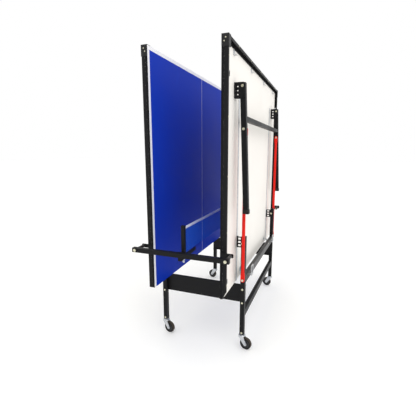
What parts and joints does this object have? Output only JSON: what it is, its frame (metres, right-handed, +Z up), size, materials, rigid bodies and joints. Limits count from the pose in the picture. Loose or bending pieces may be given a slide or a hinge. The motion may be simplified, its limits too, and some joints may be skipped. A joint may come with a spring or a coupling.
{
  "type": "table tennis table",
  "caption": "Rollaway single-fold table tennis table stored upright: two blue half tops on a black wheeled undercarriage with folding legs, red links and a net between.",
  "frame": {"origin": "on the floor under the middle of the undercarriage, on the net's centre", "axes": "+Z up, +Y along the net, +X along the table's length, across the two stored half tops"},
  "size_m": [0.6772, 1.735, 1.802],
  "materials": {
    "board": "matt blue roller-coated playing face with white lines, white underside, black edges",
    "black_steel": "satin black powder coat",
    "black_plastic": "moulded, fine grain",
    "zinc": "bright zinc plate",
    "grey_strip": "grey galvanised strip",
    "red_link": "red powder coat",
    "foot_rubber": "matt",
    "wheel": "black tread on a black plastic wheel",
    "net_blue": "knotted nylon mesh",
    "net_white": "woven cotton tape",
    "latch_rail": "dark grey powder coat"
  },
  "bodies": {
    "undercarriage": {"uprights_right": "black_steel", "uprights_left": "black_steel", "upright_caps": "black_plastic", "low_rail": "black_steel", "latch_rails": "latch_rail", "end_plate_far": "black_steel", "end_plate_near": "black_steel", "frame_bolts": "zinc", "pivot_pins": "zinc", "castor_stems": "zinc", "net_bars": "black_steel", "net_bar_pins": "zinc", "net_post_rods": "zinc"},
    "half_right": {"board_right": "board", "side_rails_right": "black_steel", "end_rail_right": "black_steel", "corner_caps_right": "black_plastic", "rail_screws_right": "zinc", "steel_strips_right": "grey_strip", "zinc_clips_right": "zinc", "fold_brackets_right": "black_steel", "leg_brackets_right": "black_steel", "leg_pivot_bolts_right": "zinc"},
    "legs_right": {"leg_tubes_right": "black_steel", "leg_feet_right": "foot_rubber", "leg_cross_bar_right": "black_steel", "link_bolts_right": "zinc"},
    "links_right": {"link_bars_right": "red_link"},
    "half_left": {"board_left": "board", "side_rails_left": "black_steel", "end_rail_left": "black_steel", "corner_caps_left": "black_plastic", "rail_screws_left": "zinc", "steel_strips_left": "grey_strip", "zinc_clips_left": "zinc", "fold_brackets_left": "black_steel", "leg_brackets_left": "black_steel", "leg_pivot_bolts_left": "zinc"},
    "legs_left": {"leg_tubes_left": "black_steel", "leg_feet_left": "foot_rubber", "leg_cross_bar_left": "black_steel", "link_bolts_left": "zinc"},
    "links_left": {"link_bars_left": "red_link"},
    "fork_right_near": {"castor_fork_right_near": "zinc"},
    "wheel_right_near": {"castor_wheel_right_near": "wheel"},
    "fork_left_near": {"castor_fork_left_near": "zinc"},
    "wheel_left_near": {"castor_wheel_left_near": "wheel"},
    "fork_right_far": {"castor_fork_right_far": "zinc"},
    "wheel_right_far": {"castor_wheel_right_far": "wheel"},
    "fork_left_far": {"castor_fork_left_far": "zinc"},
    "wheel_left_far": {"castor_wheel_left_far": "wheel"},
    "net_set": {"net_posts": "black_steel", "net_cloth": "net_blue", "net_tape": "net_white"},
    "knob_far": {"net_knob_far": "zinc"},
    "knob_near": {"net_knob_near": "zinc"},
    "latch_right_far": {"latch_right_far": "zinc"},
    "latch_right_near": {"latch_right_near": "zinc"},
    "latch_left_far": {"latch_left_far": "zinc"},
    "latch_left_near": {"latch_left_near": "zinc"}
  },
  "joints": [
    {"name": "half_right_fold", "type": "hinge", "parent": "undercarriage", "child": "half_right", "pos_m": [0.268, 0, 0.698], "axis": [0, 1, 0], "range_deg": [0, 90]},
    {"name": "legs_right_swing", "type": "hinge", "parent": "half_right", "child": "legs_right", "pos_m": [0.268, 0, 1.593], "axis": [0, -1, 0], "range_deg": [0, 90]},
    {"name": "links_right_swing", "type": "hinge", "parent": "undercarriage", "child": "links_right", "pos_m": [0.278, 0, 0.473], "axis": [0, 1, 0], "range_deg": [0, 90]},
    {"name": "latch_right_near_bolt", "type": "slide", "parent": "undercarriage", "child": "latch_right_near", "axis": [-1, 0, 0], "range_m": [0, 0.014]},
    {"name": "latch_right_far_bolt", "type": "slide", "parent": "undercarriage", "child": "latch_right_far", "axis": [-1, 0, 0], "range_m": [0, 0.014]},
    {"name": "half_left_fold", "type": "hinge", "parent": "undercarriage", "child": "half_left", "pos_m": [-0.268, 0, 0.698], "axis": [0, -1, 0], "range_deg": [0, 90]},
    {"name": "legs_left_swing", "type": "hinge", "parent": "half_left", "child": "legs_left", "pos_m": [-0.268, 0, 1.593], "axis": [0, 1, 0], "range_deg": [0, 90]},
    {"name": "links_left_swing", "type": "hinge", "parent": "undercarriage", "child": "links_left", "pos_m": [-0.278, 0, 0.473], "axis": [0, -1, 0], "range_deg": [0, 90]},
    {"name": "latch_left_near_bolt", "type": "slide", "parent": "undercarriage", "child": "latch_left_near", "axis": [1, 0, 0], "range_m": [0, 0.014]},
    {"name": "latch_left_far_bolt", "type": "slide", "parent": "undercarriage", "child": "latch_left_far", "axis": [1, 0, 0], "range_m": [0, 0.014]},
    {"name": "castor_right_near_swivel", "type": "hinge", "parent": "undercarriage", "child": "fork_right_near", "pos_m": [0.273, -0.508, 0.06], "axis": [0, 0, 1], "continuous": true},
    {"name": "castor_right_near_roll", "type": "hinge", "parent": "fork_right_near", "child": "wheel_right_near", "pos_m": [0.30039, -0.51382, 0.0375], "axis": [0.2079, 0.9781, 0], "continuous": true},
    {"name": "castor_left_near_swivel", "type": "hinge", "parent": "undercarriage", "child": "fork_left_near", "pos_m": [-0.273, -0.508, 0.06], "axis": [0, 0, 1], "continuous": true},
    {"name": "castor_left_near_roll", "type": "hinge", "parent": "fork_left_near", "child": "wheel_left_near", "pos_m": [-0.24561, -0.51382, 0.0375], "axis": [0.2079, 0.9781, 0], "continuous": true},
    {"name": "castor_right_far_swivel", "type": "hinge", "parent": "undercarriage", "child": "fork_right_far", "pos_m": [0.273, 0.508, 0.06], "axis": [0, 0, 1], "continuous": true},
    {"name": "castor_right_far_roll", "type": "hinge", "parent": "fork_right_far", "child": "wheel_right_far", "pos_m": [0.24561, 0.51382, 0.0375], "axis": [-0.2079, -0.9781, 0], "continuous": true},
    {"name": "castor_left_far_swivel", "type": "hinge", "parent": "undercarriage", "child": "fork_left_far", "pos_m": [-0.273, 0.508, 0.06], "axis": [0, 0, 1], "continuous": true},
    {"name": "castor_left_far_roll", "type": "hinge", "parent": "fork_left_far", "child": "wheel_left_far", "pos_m": [-0.30039, 0.51382, 0.0375], "axis": [-0.2079, -0.9781, 0], "continuous": true},
    {"name": "net_height", "type": "slide", "parent": "undercarriage", "child": "net_set", "axis": [0, 0, 1], "range_m": [0, 0.0745]},
    {"name": "knob_near_turn", "type": "hinge", "parent": "undercarriage", "child": "knob_near", "pos_m": [0, -0.785, 0.62], "axis": [0, 0, 1], "continuous": true},
    {"name": "knob_far_turn", "type": "hinge", "parent": "undercarriage", "child": "knob_far", "pos_m": [0, 0.785, 0.62], "axis": [0, 0, 1], "continuous": true}
  ],
  "couplings": [
    {"joint": "legs_right_swing", "follows": "half_right_fold", "ratio": 1},
    {"joint": "links_right_swing", "follows": "half_right_fold", "ratio": 1},
    {"joint": "legs_left_swing", "follows": "half_left_fold", "ratio": 1},
    {"joint": "links_left_swing", "follows": "half_left_fold", "ratio": 1}
  ]
}
